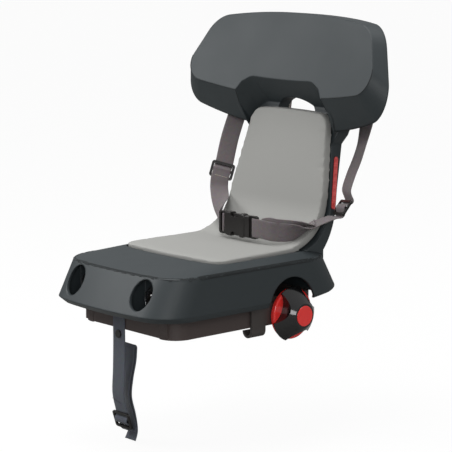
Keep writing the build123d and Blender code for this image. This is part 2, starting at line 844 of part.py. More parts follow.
with BuildPart() as knob_collar:
    with BuildSketch(Plane.YZ.offset(collar_in)):
        with Locations((0, axis_z)):
            Circle(collar_r)
    extrude(amount=knob_in - collar_in)
    fillet(knob_collar.edges().filter_by(GeomType.CIRCLE), 3)
    with BuildSketch(Plane.YZ.offset(collar_in - 1)):
        with Locations((0, axis_z)):
            Circle(spindle_r)
    extrude(amount=30, mode=Mode.SUBTRACT)
knob_collar.part.label = "knob_collar"
export_step(knob_collar.part, "parts/knob_collar.step")

with BuildPart() as clamp_knob:
    with BuildSketch(Plane.YZ.offset(knob_in)):
        with Locations((0, axis_z)):
            Circle(knob_r)
    extrude(amount=knob_rim)
    with BuildSketch(Plane.YZ.offset(knob_in + knob_rim)):
        with Locations((0, axis_z)):
            Circle(knob_r)
    with BuildSketch(Plane.YZ.offset(knob_out)):
        with Locations((0, axis_z)):
            Circle(knob_end_r)
    loft(ruled=True)
    # Three hollows for the fingers
    with BuildSketch(Plane.YZ.offset(knob_in - 1)):
        with Locations((0, axis_z)):
            with PolarLocations(scallop_far, 3, start_angle=40):
                Circle(scallop_r)
    extrude(amount=knob_out - knob_in + 2, mode=Mode.SUBTRACT)
    with BuildSketch(Plane.YZ.offset(knob_in - 1)):
        with Locations((0, axis_z)):
            Circle(spindle_r)
    extrude(amount=knob_out - knob_in - 3, mode=Mode.SUBTRACT)
    with BuildSketch(Plane.YZ.offset(knob_out)):
        with Locations((0, axis_z)):
            Circle(cap_r)
    extrude(amount=-1.5, mode=Mode.SUBTRACT)
clamp_knob.part.label = "clamp_knob"
export_step(clamp_knob.part, "parts/clamp_knob.step")

with BuildPart() as knob_cap:
    with BuildSketch(Plane.YZ.offset(knob_out - 1.5)):
        with Locations((0, axis_z)):
            Circle(cap_r)
    extrude(amount=2.7)
    fillet(knob_cap.edges().group_by(Axis.X)[-1], 0.8)
knob_cap.part.label = "knob_cap"
export_step(knob_cap.part, "parts/knob_cap.step")

# Pockets behind the front ports, fasteners between shell and base, and the reflectors
for side, name in ((-1, "right"), (1, "left")):
    with BuildPart() as front_pocket:
        with BuildSketch(Plane.XY.offset(lip_z - 2)):
            with Locations((side * port_x, pocket_rear - 40)):
                Rectangle(2 * pocket_half + 2 * wall, 80)
        extrude(amount=cavity_top_z - lip_z + 4)
        with BuildSketch(Plane.XY.offset(pocket_floor_z)):
            with Locations((side * port_x, pocket_rear - wall - 40)):
                Rectangle(2 * pocket_half, 80)
        extrude(amount=cavity_top_z - pocket_floor_z + 4, mode=Mode.SUBTRACT)
        add(seat_space.part, mode=Mode.INTERSECT)
        with BuildSketch(Plane.XZ.offset(-pocket_rear + wall)):
            with Locations((side * bolt_x, bolt_z)):
                Circle(bolt_r + 0.3)
        extrude(amount=-wall, mode=Mode.SUBTRACT)
    front_pocket.part.label = "front_pocket_" + name
    export_step(front_pocket.part, "parts/front_pocket_" + name + ".step")

    with BuildPart() as front_cup:
        with BuildSketch(Plane.XZ.offset(-pocket_rear + wall)):
            with Locations((side * bolt_x, bolt_z)):
                Circle(cup_r)
        extrude(amount=2)
        for r_out, r_in in ((cup_r, cup_r - 2), (cup_r - 4, cup_r - 6)):
            with BuildSketch(Plane.XZ.offset(-pocket_rear + wall + 2)):
                with Locations((side * bolt_x, bolt_z)):
                    Circle(r_out)
                    Circle(r_in, mode=Mode.SUBTRACT)
            extrude(amount=2.5)
        with BuildSketch(Plane.XZ.offset(-pocket_rear + wall)):
            with Locations((side * bolt_x, bolt_z)):
                Circle(bolt_r)
        extrude(amount=10, mode=Mode.SUBTRACT)
    front_cup.part.label = "front_cup_" + name
    export_step(front_cup.part, "parts/front_cup_" + name + ".step")

    with BuildPart() as front_bolt:
        with BuildSketch(Plane.XZ.offset(-pocket_rear + wall + 2)):
            with Locations((side * bolt_x, bolt_z)):
                Circle(cup_r - 8)
        extrude(amount=9)
        fillet(front_bolt.edges().group_by(Axis.Y)[0], 6)
        with BuildSketch(Plane.XZ.offset(-pocket_rear + wall + 3)):
            with Locations((side * bolt_x, bolt_z)):
                Circle(bolt_r)
        extrude(amount=-(wall + upright_t + 12))
    front_bolt.part.label = "front_bolt_" + name
    export_step(front_bolt.part, "parts/front_bolt_" + name + ".step")

    with BuildPart() as front_nut:
        with BuildSketch(Plane.XZ.offset(-base_front - upright_t)):
            with Locations((side * bolt_x, bolt_z)):
                RegularPolygon(7.5, 6)
                Circle(bolt_r, mode=Mode.SUBTRACT)
        extrude(amount=-6)
    front_nut.part.label = "front_nut_" + name
    export_step(front_nut.part, "parts/front_nut_" + name + ".step")

    with BuildPart() as base_screw:
        with BuildSketch(Plane.XY.offset(3)):
            with Locations((side * post_x, post_y)):
                Circle(screw_head_r)
        extrude(amount=5)
        with BuildSketch(Plane.XY.offset(8)):
            with Locations((side * post_x, post_y)):
                Circle(screw_r)
        extrude(amount=post_z + 14 - 8)
    base_screw.part.label = "base_screw_" + name
    export_step(base_screw.part, "parts/base_screw_" + name + ".step")

    with BuildPart() as reflector:
        with BuildSketch(reflector_plane(side)):
            SlotOverall(reflector_long - 0.4, reflector_wide - 0.4)
        extrude(amount=-reflector_set)
        with BuildSketch(reflector_plane(side)):
            SlotOverall(reflector_long - 0.4, reflector_wide - 0.4)
        extrude(amount=1.2)
    reflector.part.label = "reflector_" + name
    export_step(reflector.part, "parts/reflector_" + name + ".step")

for y, name in zip(jaw_screw_places, ("front", "rear")):
    with BuildPart() as jaw_screw:
        with BuildSketch(Plane.YZ.offset(base_half - wall - 3)):
            with Locations((y, jaw_screw_z)):
                Circle(2 * jaw_screw_r)
        extrude(amount=3)
        with BuildSketch(Plane.YZ.offset(base_half - wall)):
            with Locations((y, jaw_screw_z)):
                Circle(jaw_screw_r)
        extrude(amount=wall + plate_t - 1.5)
    jaw_screw.part.label = "jaw_screw_" + name
    export_step(jaw_screw.part, "parts/jaw_screw_" + name + ".step")

# Sliders: centre, run of the strap, sideways direction
glide_left = glide_frame((back_half + 26, 90, 161), (-0.12, -0.6, -0.79), (0.93, -0.15, 0.3))
glide_right = glide_frame((-back_half - 22, 77.5, 191), (0.08, -0.42, -0.9), (0.66, 0.75, 0))
glide_safety = glide_frame((-14, -213, -136), (0, 0.3, -0.954), (1, 0, 0))
to_front = (0.5, -1, 0.3)

for frame, name in ((glide_left, "slider_left"), (glide_right, "slider_right"), (glide_safety, "slider_safety")):
    centre, run, across, normal = frame
    with BuildPart() as slider:
        with BuildSketch(Plane(origin=centre, x_dir=across, z_dir=normal)) as flat:
            RectangleRounded(glide_w, 2 * glide_bar + 4, 4)
            with Locations((0, -glide_bar / 2), (0, glide_bar / 2)):
                Rectangle(web_w + 1, glide_bar - 4, mode=Mode.SUBTRACT)
        extrude(amount=glide_t / 2, both=True)
    slider.part.label = name
    export_step(slider.part, "parts/" + name + ".step")

# Buckle
with BuildPart() as buckle_socket:
    with BuildSketch(Plane.XZ.offset(-buckle_y + 6)):
        with Locations((buckle_x - 8, buckle_z)):
            RectangleRounded(44, 36, 5)
    extrude(amount=-12)
    fillet(buckle_socket.edges().group_by(Axis.Y)[0], 2)
    fillet(buckle_socket.edges().group_by(Axis.Y)[-1], 2)
    with BuildSketch(Plane.XZ.offset(-buckle_y + 2.5)):
        with Locations((buckle_x - 36, buckle_z)):
            RectangleRounded(18, 34, 4)
    extrude(amount=-5)
    with BuildSketch(Plane.XZ.offset(-buckle_y + 10)):
        with Locations((buckle_x - 36, buckle_z)):
            Rectangle(10, 30)
        with Locations((buckle_x - 6, buckle_z + 18), (buckle_x - 6, buckle_z - 18)):
            RectangleRounded(20, 14, 5)
    extrude(amount=-20, mode=Mode.SUBTRACT)
    with BuildSketch(Plane.YZ.offset(buckle_x + 15)):
        with Locations((buckle_y, buckle_z)):
            Rectangle(6, 29)
    extrude(amount=-35, mode=Mode.SUBTRACT)
buckle_socket.part.label = "buckle_socket"
export_step(buckle_socket.part, "parts/buckle_socket.step")

with BuildPart() as buckle_plug:
    with BuildSketch(Plane.XZ.offset(-buckle_y + 5)):
        with Locations((buckle_x + 19.5, buckle_z)):
            Rectangle(10, 33)
    extrude(amount=-10)
    fillet(buckle_plug.edges().filter_by(Axis.X), 2)
    with BuildSketch(Plane.XZ.offset(-buckle_y + 2.5)):
        with Locations((buckle_x + 31, buckle_z)):
            RectangleRounded(16, 34, 4)
        with Locations((buckle_x + 28.5, buckle_z)):
            Rectangle(6, 30, mode=Mode.SUBTRACT)
        with Locations((buckle_x + 1, buckle_z + 10), (buckle_x + 1, buckle_z - 10)):
            Rectangle(30, 5)
        with Locations((buckle_x - 6, buckle_z + 14), (buckle_x - 6, buckle_z - 14)):
            Rectangle(14, 5)
        with Locations((buckle_x + 2, buckle_z)):
            Rectangle(26, 4)
    extrude(amount=-5)
buckle_plug.part.label = "buckle_plug"
export_step(buckle_plug.part, "parts/buckle_plug.step")

# Harness straps: from the anchor behind the headrest, through the slider, to the buckle
anchor_y = rear_y(anchor_z) + 1.5 * web_t + 0.25
upright = (0, 0, 1)
leant = (0, rear_slope, 1)
left_points = [
    (anchor_x - 14, anchor_y, anchor_z),
    (anchor_x + 14, anchor_y, anchor_z),
    (96, anchor_y, anchor_z),
    (112, anchor_y - 0.5, anchor_z - 5),
    (122, anchor_y - 1.5, anchor_z - 20),
    (125, 143, 288),
    (125, 140, 272),
    (125, 133, 250),
    (125, 123, 228),
    (126, 110, 207),
    (128, 99.5, 186),
]
left_across = [leant, leant, leant, (0.3, 0, 1), (0.8, 0, 0.6)] + [(1, 0, 0)] * 3 + [(0.98, -0.2, 0)] * 3
left_points += weave(glide_left, to_front, 0.7, -1)
left_across += [tuple(glide_left[2])] * 6
left_points += [
    (123, 73, 147),
    (117.5, 57, 142),
    (107.5, 45.5, 136),
    (97, 35, 130),
    (87, 24, 126),
    (77, 13, 126),
    (69, 4, 127),
    (buckle_x + 56, buckle_y - 0.5, 128.5),
    (buckle_x + 46, buckle_y - 3, buckle_z),
    (buckle_x + 40, buckle_y - 3.7, buckle_z),
    (buckle_x + 34, buckle_y - 3.8, buckle_z),
    (buckle_x + 30.6, buckle_y - 3.4, buckle_z),
    (buckle_x + 28.4, buckle_y, buckle_z),
]
left_across += [(0.95, -0.3, 0)] * 3 + [(0.6, -0.4, 0.65), (0.2, -0.15, 0.95)] + [upright] * 8

right_points = [
    (-anchor_x + 14, anchor_y, anchor_z),
    (-anchor_x - 14, anchor_y, anchor_z),
    (-96, anchor_y, anchor_z),
    (-114, anchor_y - 1.5, anchor_z - 4),
    (-128, anchor_y - 13, anchor_z - 17),
    (-137, 126, 290),
    (-139, 122, 276),
    (-133, 101, 240),
]
right_across = [
    leant, leant, leant, (-0.3, 0, 1), (-0.7, -0.4, 0.6), (-0.8, -0.6, 0.1), (-0.7, -0.72, 0), (-0.66, -0.75, 0),
]
right_points += weave(glide_right, to_front, 0, 1)
right_across += [tuple(glide_right[2] * -1)] * 6
right_points += [
    (-119, 66, 170),
    (-108, 58, 163),
    (-90, 44, 152),
    (-72, 29, 143),
    (-60, 18, 136),
    (-53, 9, 131),
    (buckle_x - 52, buckle_y + 4.6, buckle_z),
    (buckle_x - 47, buckle_y + 4, buckle_z),
    (buckle_x - 41, buckle_y + 4.1, buckle_z),
    (buckle_x - 37.5, buckle_y + 0.2, buckle_z),
    (buckle_x - 35.4, buckle_y - 3.4, buckle_z),
    (buckle_x - 32.4, buckle_y - 3.6, buckle_z),
]
right_across += [(-0.66, -0.75, 0), (-0.64, -0.7, -0.25), (-0.5, -0.55, -0.65)]
right_across += [(-0.3, -0.3, -0.9), (-0.1, -0.1, -1)] + [(0, 0, -1)] * 7

for points, across, name in (
    (left_points, left_across, "harness_strap_left"),
    (right_points, right_across, "harness_strap_right"),
):
    with BuildPart() as strap:
        loft(ring_loft(points, across, web_w, web_t), ruled=True)
        with BuildSketch(Plane.XZ.offset(-anchor_y + 20)):
            with Locations((-anchor_x, anchor_z), (anchor_x, anchor_z)):
                Circle(anchor_r + 0.2)
        extrude(amount=-40, mode=Mode.SUBTRACT)
    strap.part.label = name
    export_step(strap.part, "parts/" + name + ".step")

for side, name in ((-1, "right"), (1, "left")):
    with BuildPart() as strap_tab:
        loft(
            ring_loft(
                [(side * anchor_x, rear_y(z) + web_t / 2 + 0.05, z) for z in (336, 324, 300, 284)],
                [(1, 0, 0)] * 4,
                web_w,
                web_t,
            ),
            ruled=True,
        )
        with BuildSketch(Plane.XZ.offset(-anchor_y + 20)):
            with Locations((side * anchor_x, anchor_z)):
                Circle(anchor_r + 0.2)
        extrude(amount=-40, mode=Mode.SUBTRACT)
    strap_tab.part.label = "strap_tab_" + name
    export_step(strap_tab.part, "parts/strap_tab_" + name + ".step")

    with BuildPart() as anchor_bolt:
        with BuildSketch(Plane.XZ.offset(-anchor_y - 3.2)):
            with Locations((side * anchor_x, anchor_z)):
                Circle(8)
        extrude(amount=-4)
        fillet(anchor_bolt.edges().group_by(Axis.Y)[-1], 2)
        with BuildSketch(Plane.XZ.offset(-anchor_y - 4)):
            with Locations((side * anchor_x, anchor_z)):
                Circle(anchor_r)
        extrude(amount=anchor_y + 4 - back_y(anchor_z, under) - 3)
    anchor_bolt.part.label = "anchor_bolt_" + name
    export_step(anchor_bolt.part, "parts/anchor_bolt_" + name + ".step")

# Safety strap: hangs in front of the base, through its slider, up in a loop and down to its end
safety_x = -14.0
safety_y = base_front - web_t / 2 - 0.1
safety_points = [(safety_y, z) for z in (37, 20, 0, -20)]
safety_points += [(safety_y - 1, -60), (safety_y - 2.5, -95)]
safety_points += [(p[1], p[2]) for p in weave(glide_safety, to_front, 0, -1)]
safety_points += [
    (-203.4, -152.4),
    (-201, -153.2),
    (-198.8, -151.5),
    (-197.6, -146),
    (-197, -100),
    (-198.5, -60),
    (-200.5, -35),
    (-199.7, -28.5),
    (-197.5, -25.5),
    (-195.3, -28.5),
    (-194.5, -35),
    (-193.5, -60),
    (-192.5, -100),
    (-192, -135),
    (-193, -152),
    (-199, -168),
]
with BuildPart() as safety_strap:
    with BuildSketch(Plane.YZ.offset(safety_x)):
        with BuildLine():
            Polyline(*band(safety_points, web_t), close=True)
        make_face()
    extrude(amount=web_w / 2 - 0.5, both=True)
safety_strap.part.label = "safety_strap"
export_step(safety_strap.part, "parts/safety_strap.step")

for z, name in ((31, "safety_rivet"), (-7, "safety_stud")):
    with BuildPart() as stud:
        with BuildSketch(Plane.XZ.offset(-safety_y + web_t / 2)):
            with Locations((safety_x, z)):
                Circle(6)
        extrude(amount=2.4)
        fillet(stud.edges().group_by(Axis.Y)[0], 1)
    stud.part.label = name
    export_step(stud.part, "parts/" + name + ".step")
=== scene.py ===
import json
from math import cos, pi, radians, sin

import bmesh
import bpy
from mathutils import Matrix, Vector


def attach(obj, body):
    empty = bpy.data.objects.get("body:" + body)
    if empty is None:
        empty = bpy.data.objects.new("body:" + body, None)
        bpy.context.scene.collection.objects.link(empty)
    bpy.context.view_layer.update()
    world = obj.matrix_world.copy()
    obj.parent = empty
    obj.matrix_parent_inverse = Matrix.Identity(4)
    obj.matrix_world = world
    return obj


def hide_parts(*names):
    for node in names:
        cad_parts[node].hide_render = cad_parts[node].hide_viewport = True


# Child bike seat, dressed on the CAD frame. X runs to the child's left, Y to the rear, Z up. Sizes and
# route points are in millimetres and become metres by MM; camera, lamps and floor are in metres.

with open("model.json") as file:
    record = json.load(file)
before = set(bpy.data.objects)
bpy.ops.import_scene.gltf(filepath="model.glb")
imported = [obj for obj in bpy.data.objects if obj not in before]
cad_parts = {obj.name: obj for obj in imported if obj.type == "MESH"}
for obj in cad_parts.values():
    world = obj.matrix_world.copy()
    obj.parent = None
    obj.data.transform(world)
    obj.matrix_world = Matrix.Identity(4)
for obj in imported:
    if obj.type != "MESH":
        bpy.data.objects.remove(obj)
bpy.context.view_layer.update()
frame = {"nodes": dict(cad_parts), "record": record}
nodes = frame["nodes"]
scene = bpy.context.scene

MM = 0.001

# Webbing width and thickness, the buckle, and where the left strap meets its bolt, as in the CAD source
WEB_W = 28.0
WEB_T = 1.6
BUCKLE = Vector((4.0, 0.0, 129.5))
ANCHOR = Vector((50, 147.77, 324))

# Mesh of the webbing: lanes across it, samples between route points, and how far its edges are rounded
# at 45 degrees, as a share of half the thickness
WEB_LANES = 8
WEB_STEPS = 8
WEB_CORNER = 0.7

# Sliders: thickness, gap to the webbing, where a strap crosses the bar, the slots and the ends, and
# the side that counts as the front
GLIDE_T = 3.2
GLIDE_GAP = 0.35
GLIDE_BAR = 2.5
GLIDE_SLOT = 8.5
GLIDE_END = 15.0
GLIDE_FRONT = Vector((0.5, -1, 0.3))

# Safety strap: width, and where it hangs
SAFETY_W = 27.0
SAFETY_X = -14.0
SAFETY_Y = -217.9

# Rear face of the back plate, which the tabs lie on: its lean, its Y at one height, and how far behind
# it the middle of a tab lies
BACK_LEAN = 0.16
BACK_Y = 135.2
BACK_Z = 262.0
TAB_LIFT = 0.85

# Edge rounding of hard pieces, the least turn of an edge that is rounded, in degrees, and the distance
# within which the loose corners of a CAD mesh are joined
SHELL_ROUND = 1.6
SMALL_ROUND = 0.6
ROUND_TURN = 28.0
WELD = 0.01

# Pad: joining distance, mesh size and smoothing of its skin, how far it starts inside its CAD solid,
# how far pressure may push it back out, and the pressure and steps of its simulation
PAD_WELD = 0.02
PAD_VOXEL = 3.0
PAD_SMOOTHING = 3
PAD_INSET = 1.0
PAD_SWELL = 1.2
PAD_PRESSURE = 4.0
PAD_STEPS = 20

# Stitches: spacing, length and radius, how far they stand off the webbing, and half of a cross box
STITCH_PITCH = 2.6
STITCH_LONG = 1.9
STITCH_R = 0.28
STITCH_LIFT = 0.1
CROSS_HALF_W = 6.0
CROSS_HALF_H = 7.0

# Dark lines along creases of the shells, painted shade: their radius, and for each shell the least turn of
# its crease in degrees and where the crease lies. The seat's crease is a rounding, so lines lie side by
# side on it
CREASE_SHADE_R = 0.55
SEAT_CREASE_TURN = 5.0
SEAT_CREASE_Z = (88.0, 95.0)
SEAT_CREASE_REAR = 60.0
SEAT_CREASE_FRONT = -180.0
SEAT_CREASE_SIDE = 118.0
LEVEL_SLOPE = 0.15
HEAD_CREASE_TURN = 38.0
HEAD_CREASE_Z = (295.0, 368.0)
HEAD_CREASE_Y = 89.0
HEAD_CREASE_SIDE = 92.0

# Patterns of the materials: patches of uneven shine, yarn spacing along and across webbing, fuzz of
# the yarns, prisms of the reflectors and fibres of the floor paper
SHINE_PATCH = 60.0
YARN_ALONG = 1.5
YARN_ACROSS = 1.75
YARN_FUZZ = 4.0
PRISM = 2.4
PAPER_FIBRE = 3.0

# Camera of the photograph: degrees, metres, and lens and sensor in millimetres
PHOTO_AZIMUTH = 48.5
PHOTO_ELEVATION = 9.63
PHOTO_PLACE = (2.1406, -1.9188, 0.615)
PHOTO_LENS = 155.31
PHOTO_SENSOR = 36.0

# Studio, in metres: where the lamps look, the floor, how much of it is plain white to the camera, and
# its colours to the camera and to other rays
LAMPS_LOOK_AT = Vector((0, 0, 0.18))
FLOOR_Z = -0.172
FLOOR_HALF = 20.0
FLOOR_WHITE_SHARE = 0.94
PAPER = "#f4f4f3"
PAPER_DIM = "#8c8c8a"


def linear(code):
    """sRGB hex code as a linear colour."""
    parts = [int(code[i:i + 2], 16) / 255 for i in (1, 3, 5)]
    return [c / 12.92 if c <= 0.04045 else ((c + 0.055) / 1.055) ** 2.4 for c in parts] + [1.0]


def add(tree, kind, at=None, **values):
    """New node. Numbers and capital names are sockets, for a value or a link; other names are settings."""
    node = tree.nodes.new(kind)
    sockets = dict(at or {})
    for key, value in values.items():
        if key[0].isupper():
            sockets[key.replace("_", " ")] = value
        else:
            setattr(node, key, value)
    for key, value in sockets.items():
        if isinstance(value, bpy.types.NodeSocket):
            tree.links.new(value, node.inputs[key])
        else:
            node.inputs[key].default_value = value
    return node


def new_material(name, code, rough, **sockets):
    """Material with its base colour and roughness set; returns it with its tree and shader."""
    made = bpy.data.materials.new(name)
    made.use_nodes = True
    shader = made.node_tree.nodes["Principled BSDF"]
    shader.inputs["Base Color"].default_value = linear(code)
    shader.inputs["Roughness"].default_value = rough
    for key, value in sockets.items():
        shader.inputs[key.replace("_", " ")].default_value = value
    return made, made.node_tree, shader


def moulded(name, code, size, depth, rough, edge=0.0, **sockets):
    """Moulded surface: grain size and depth in mm, uneven shine, edges shaded as if rounded by edge mm."""
    made, tree, shader = new_material(name, code, rough, **sockets)
    place = add(tree, "ShaderNodeTexCoord").outputs["Object"]
    fine = add(tree, "ShaderNodeTexNoise", Vector=place, Scale=1 / (size * MM), Detail=2.0)
    broad = add(tree, "ShaderNodeTexNoise", Vector=place, Scale=1 / (SHINE_PATCH * MM), Detail=3.0)
    bump = add(tree, "ShaderNodeBump", Height=fine.outputs["Fac"], Distance=depth * MM, Strength=0.6)
    if edge:
        soft = add(tree, "ShaderNodeBevel", samples=6, Radius=edge * MM)
        tree.links.new(soft.outputs["Normal"], bump.inputs["Normal"])
    shine = add(
        tree, "ShaderNodeMapRange",
        Value=broad.outputs["Fac"], To_Min=rough - 0.05, To_Max=rough + 0.05,
    )
    tree.links.new(bump.outputs["Normal"], shader.inputs["Normal"])
    tree.links.new(shine.outputs["Result"], shader.inputs["Roughness"])
    return made


def webbing(name, code, dark):
    """Woven polyester webbing: crossing yarns with dark gaps, soft sheen, some light comes through."""
    made, tree, shader = new_material(name, code, 0.75, Sheen_Weight=0.25, Sheen_Roughness=0.4)
    place = add(tree, "ShaderNodeUVMap", uv_map="webbing").outputs["UV"]
    split = add(tree, "ShaderNodeSeparateXYZ", Vector=place).outputs
    waves = []
    for axis, pitch in (("X", YARN_ALONG * MM), ("Y", YARN_ACROSS * MM)):
        turn = add(tree, "ShaderNodeMath", {0: split[axis], 1: 2 * pi / pitch}, operation="MULTIPLY")
        waves.append(add(tree, "ShaderNodeMath", {0: turn.outputs[0]}, operation="SINE").outputs[0])
    crossing = add(tree, "ShaderNodeMath", {0: waves[0], 1: waves[1]}, operation="MULTIPLY")
    yarn = add(tree, "ShaderNodeMapRange", Value=crossing.outputs[0], From_Min=-1.0, From_Max=1.0)
    height = yarn.outputs["Result"]
    fuzz = add(tree, "ShaderNodeTexNoise", Vector=place, Scale=1 / (YARN_FUZZ * MM), Detail=4.0)
    tone = add(tree, "ShaderNodeMix", {0: height, 6: linear(dark), 7: linear(code)}, data_type="RGBA")
    worn = add(
        tree, "ShaderNodeMix", {0: 0.25, 6: tone.outputs[2], 7: fuzz.outputs["Color"]},
        data_type="RGBA", blend_type="OVERLAY",
    )
    bump = add(tree, "ShaderNodeBump", Height=height, Distance=0.25 * MM, Strength=0.7)
    tree.links.new(worn.outputs[2], shader.inputs["Base Color"])
    tree.links.new(bump.outputs["Normal"], shader.inputs["Normal"])
    through = add(tree, "ShaderNodeBsdfTranslucent", Color=worn.outputs[2])
    both = add(tree, "ShaderNodeMixShader", {0: 0.25, 1: shader.outputs[0], 2: through.outputs[0]})
    tree.links.new(both.outputs[0], tree.nodes["Material Output"].inputs["Surface"])
    return made


def reflector_acrylic():
    """Clear red acrylic over small prisms, with a beaded glitter painted in as pale middles to the prism
    cells.
    """
    made, tree, shader = new_material(
        "reflector_acrylic", "#c2181d", 0.18, Coat_Weight=1.0, Coat_Roughness=0.05,
    )
    place = add(tree, "ShaderNodeTexCoord").outputs["Object"]
    cells = add(tree, "ShaderNodeTexVoronoi", Vector=place, Scale=1 / (PRISM * MM), Randomness=0.0)
    tone = add(tree, "ShaderNodeValToRGB", Fac=cells.outputs["Distance"])
    # Pale pink in the middle of each prism cell, red at its edges: painted glitter
    tone.color_ramp.elements[0].color = linear("#ff6a66")
    tone.color_ramp.elements[1].color = linear("#c0151b")
    bump = add(tree, "ShaderNodeBump", Height=cells.outputs["Distance"], Distance=0.8 * MM, Strength=0.5)
    tree.links.new(tone.outputs["Color"], shader.inputs["Base Color"])
    tree.links.new(bump.outputs["Normal"], shader.inputs["Normal"])
    return made


# Each slot's real material, and what it gives the eye
materials = {
    # Polypropylene with a fine spark-eroded grain: matt slate grey
    "shell_plastic": moulded("grained_polypropylene", "#2b3235", 0.7, 0.06, 0.52, edge=3.0),
    # Closed-cell foam with a smooth skin: matt light grey, no highlights
    "pad_foam": moulded("eva_foam", "#959592", 0.5, 0.08, 0.85),
    # Glass-filled nylon: brown-black, slightly uneven
    "base_plastic": moulded("filled_nylon", "#453b39", 0.9, 0.06, 0.55),
    # Powder-coated steel: dark grey with a satin orange-peel
    "jaw_metal": moulded("powder_coated_steel", "#4a4644", 1.2, 0.05, 0.38, Metallic=0.3),
    # Polished acetal of collar and cap: bright red with soft highlights
    "red_plastic": moulded("red_acetal", "#ef3532", 1.5, 0.01, 0.22, Coat_Weight=0.4),
    # Polished nylon of the knob and the bolt heads: black, mirrors the lamps
    "knob_plastic": moulded("polished_black_nylon", "#111112", 2.0, 0.01, 0.16, Coat_Weight=0.5),
    "bolt_plastic": moulded("polished_black_cap", "#171514", 2.0, 0.01, 0.14, Coat_Weight=0.5),
    # Acrylic reflector strips: red with a painted beaded glitter
    "reflector_red": reflector_acrylic(),
    # Acetal of buckle and sliders: near black, soft shine on the rounded edges
    "buckle_plastic": moulded("black_acetal", "#1d1b1a", 1.0, 0.03, 0.28),
    # Polyester webbing: warm grey for the harness, blue-grey for the safety strap
    "harness_webbing": webbing("harness_polyester", "#8a8183", "#5f585a"),
    "safety_webbing": webbing("safety_polyester", "#70757f", "#4c505a"),
    # Zinc-plated steel of nuts, screws and bolts: pale and shiny
    "steel": moulded("zinc_plated_steel", "#9a9b9d", 1.0, 0.02, 0.3, Metallic=1.0),
}
# Polyester thread: dull, pale on the harness and dark on the safety strap
cream_thread = moulded("cream_polyester_thread", "#d9d2bd", 0.6, 0.05, 0.7)
dark_thread = moulded("dark_polyester_thread", "#23252b", 0.6, 0.05, 0.7)
# Paler copy of the polyester webbing for the tabs: painted light on tabs that lie in shade behind the back
# plate
painted_light_tab_webbing = webbing("tab_polyester_painted_light", "#c9c0c0", "#938a8a")
# Nearly black shell plastic for the lines along the creases: painted shade
crease_shade_plastic = moulded("polypropylene_painted_crease_shade", "#1b2022", 0.7, 0.06, 0.7)

slots = {part["node"]: part["material_slot"] for part in frame["record"]["subparts"]}
for name, obj in nodes.items():
    obj.data.materials.clear()
    obj.data.materials.append(materials[slots[name]])


def soften(obj, width):
    """Rounds the edges of a hard CAD node by modifiers only."""
    obj.data.polygons.foreach_set("use_smooth", [True] * len(obj.data.polygons))
    weld = obj.modifiers.new("weld", "WELD")
    weld.merge_threshold = WELD * MM
    bevel = obj.modifiers.new("edges", "BEVEL")
    bevel.width = width * MM
    bevel.segments = 2
    bevel.limit_method = "ANGLE"
    bevel.angle_limit = radians(ROUND_TURN)
    bevel.harden_normals = True
    normals = obj.modifiers.new("normals", "WEIGHTED_NORMAL")
    normals.keep_sharp = True


SOFT_NODES = {
    "comfort_pad", "harness_strap_left", "harness_strap_right",
    "strap_tab_left", "strap_tab_right", "safety_strap",
}
for name, obj in nodes.items():
    if name not in SOFT_NODES:
        soften(obj, SHELL_ROUND if name.endswith("_shell") else SMALL_ROUND)


def keep(obj, slot, *replaced):
    """Places a finished piece of the seat body in the frame."""
    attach(obj, "seat")
    if replaced:
        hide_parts(*replaced)


def mesh_object(name, mesh, material):
    """Object at the origin for a mesh that already has its place."""
    obj = bpy.data.objects.new(name, mesh)
    scene.collection.objects.link(obj)
    mesh.materials.clear()
    mesh.materials.append(material)
    return obj


def plain_mesh(obj):
    """Turns an object's modifiers into its mesh."""
    finished = obj.evaluated_get(bpy.context.evaluated_depsgraph_get())
    obj.data = bpy.data.meshes.new_from_object(finished)
    obj.modifiers.clear()


def swell(pad):
    """Lets pressure push the pad's skin outwards, by no more than PAD_SWELL."""
    start = [vert.co.copy() for vert in pad.data.vertices]
    cloth = pad.modifiers.new("pressure", "CLOTH")
    cloth.settings.use_pressure = True
    cloth.settings.uniform_pressure_force = PAD_PRESSURE
    cloth.settings.effector_weights.gravity = 0
    scene.frame_start = 1
    scene.frame_end = PAD_STEPS
    for step in range(1, PAD_STEPS + 1):
        scene.frame_set(step)
    swollen = pad.evaluated_get(bpy.context.evaluated_depsgraph_get())
    moved = [vert.co.copy() for vert in swollen.data.vertices]
    pad.modifiers.clear()
    for vert, old, new in zip(pad.data.vertices, start, moved):
        push = new - old
        vert.co = old + push * min(1, PAD_SWELL * MM / max(push.length, 1e-9))


def foam_pad():
    """Pad: a foam slab, swollen by pressure to about the size of its CAD solid."""
    mesh = nodes["comfort_pad"].data.copy()
    mesh.name = "foam_pad"
    build = bmesh.new()
    build.from_mesh(mesh)
    bmesh.ops.remove_doubles(build, verts=build.verts, dist=PAD_WELD * MM)
    build.to_mesh(mesh)
    build.free()
    pad = mesh_object("foam_pad", mesh, materials["pad_foam"])
    remesh = pad.modifiers.new("voxels", "REMESH")
    remesh.mode = "VOXEL"
    remesh.voxel_size = PAD_VOXEL * MM
    inset = pad.modifiers.new("inset", "DISPLACE")
    inset.strength = -PAD_INSET * MM
    inset.mid_level = 0
    even = pad.modifiers.new("even", "SMOOTH")
    even.iterations = PAD_SMOOTHING
    plain_mesh(pad)
    swell(pad)
    pad.data.polygons.foreach_set("use_smooth", [True] * len(pad.data.polygons))
    finer = pad.modifiers.new("finer", "SUBSURF")
    finer.levels = finer.render_levels = 1
    keep(pad, "pad_foam", "comfort_pad")


foam_pad()


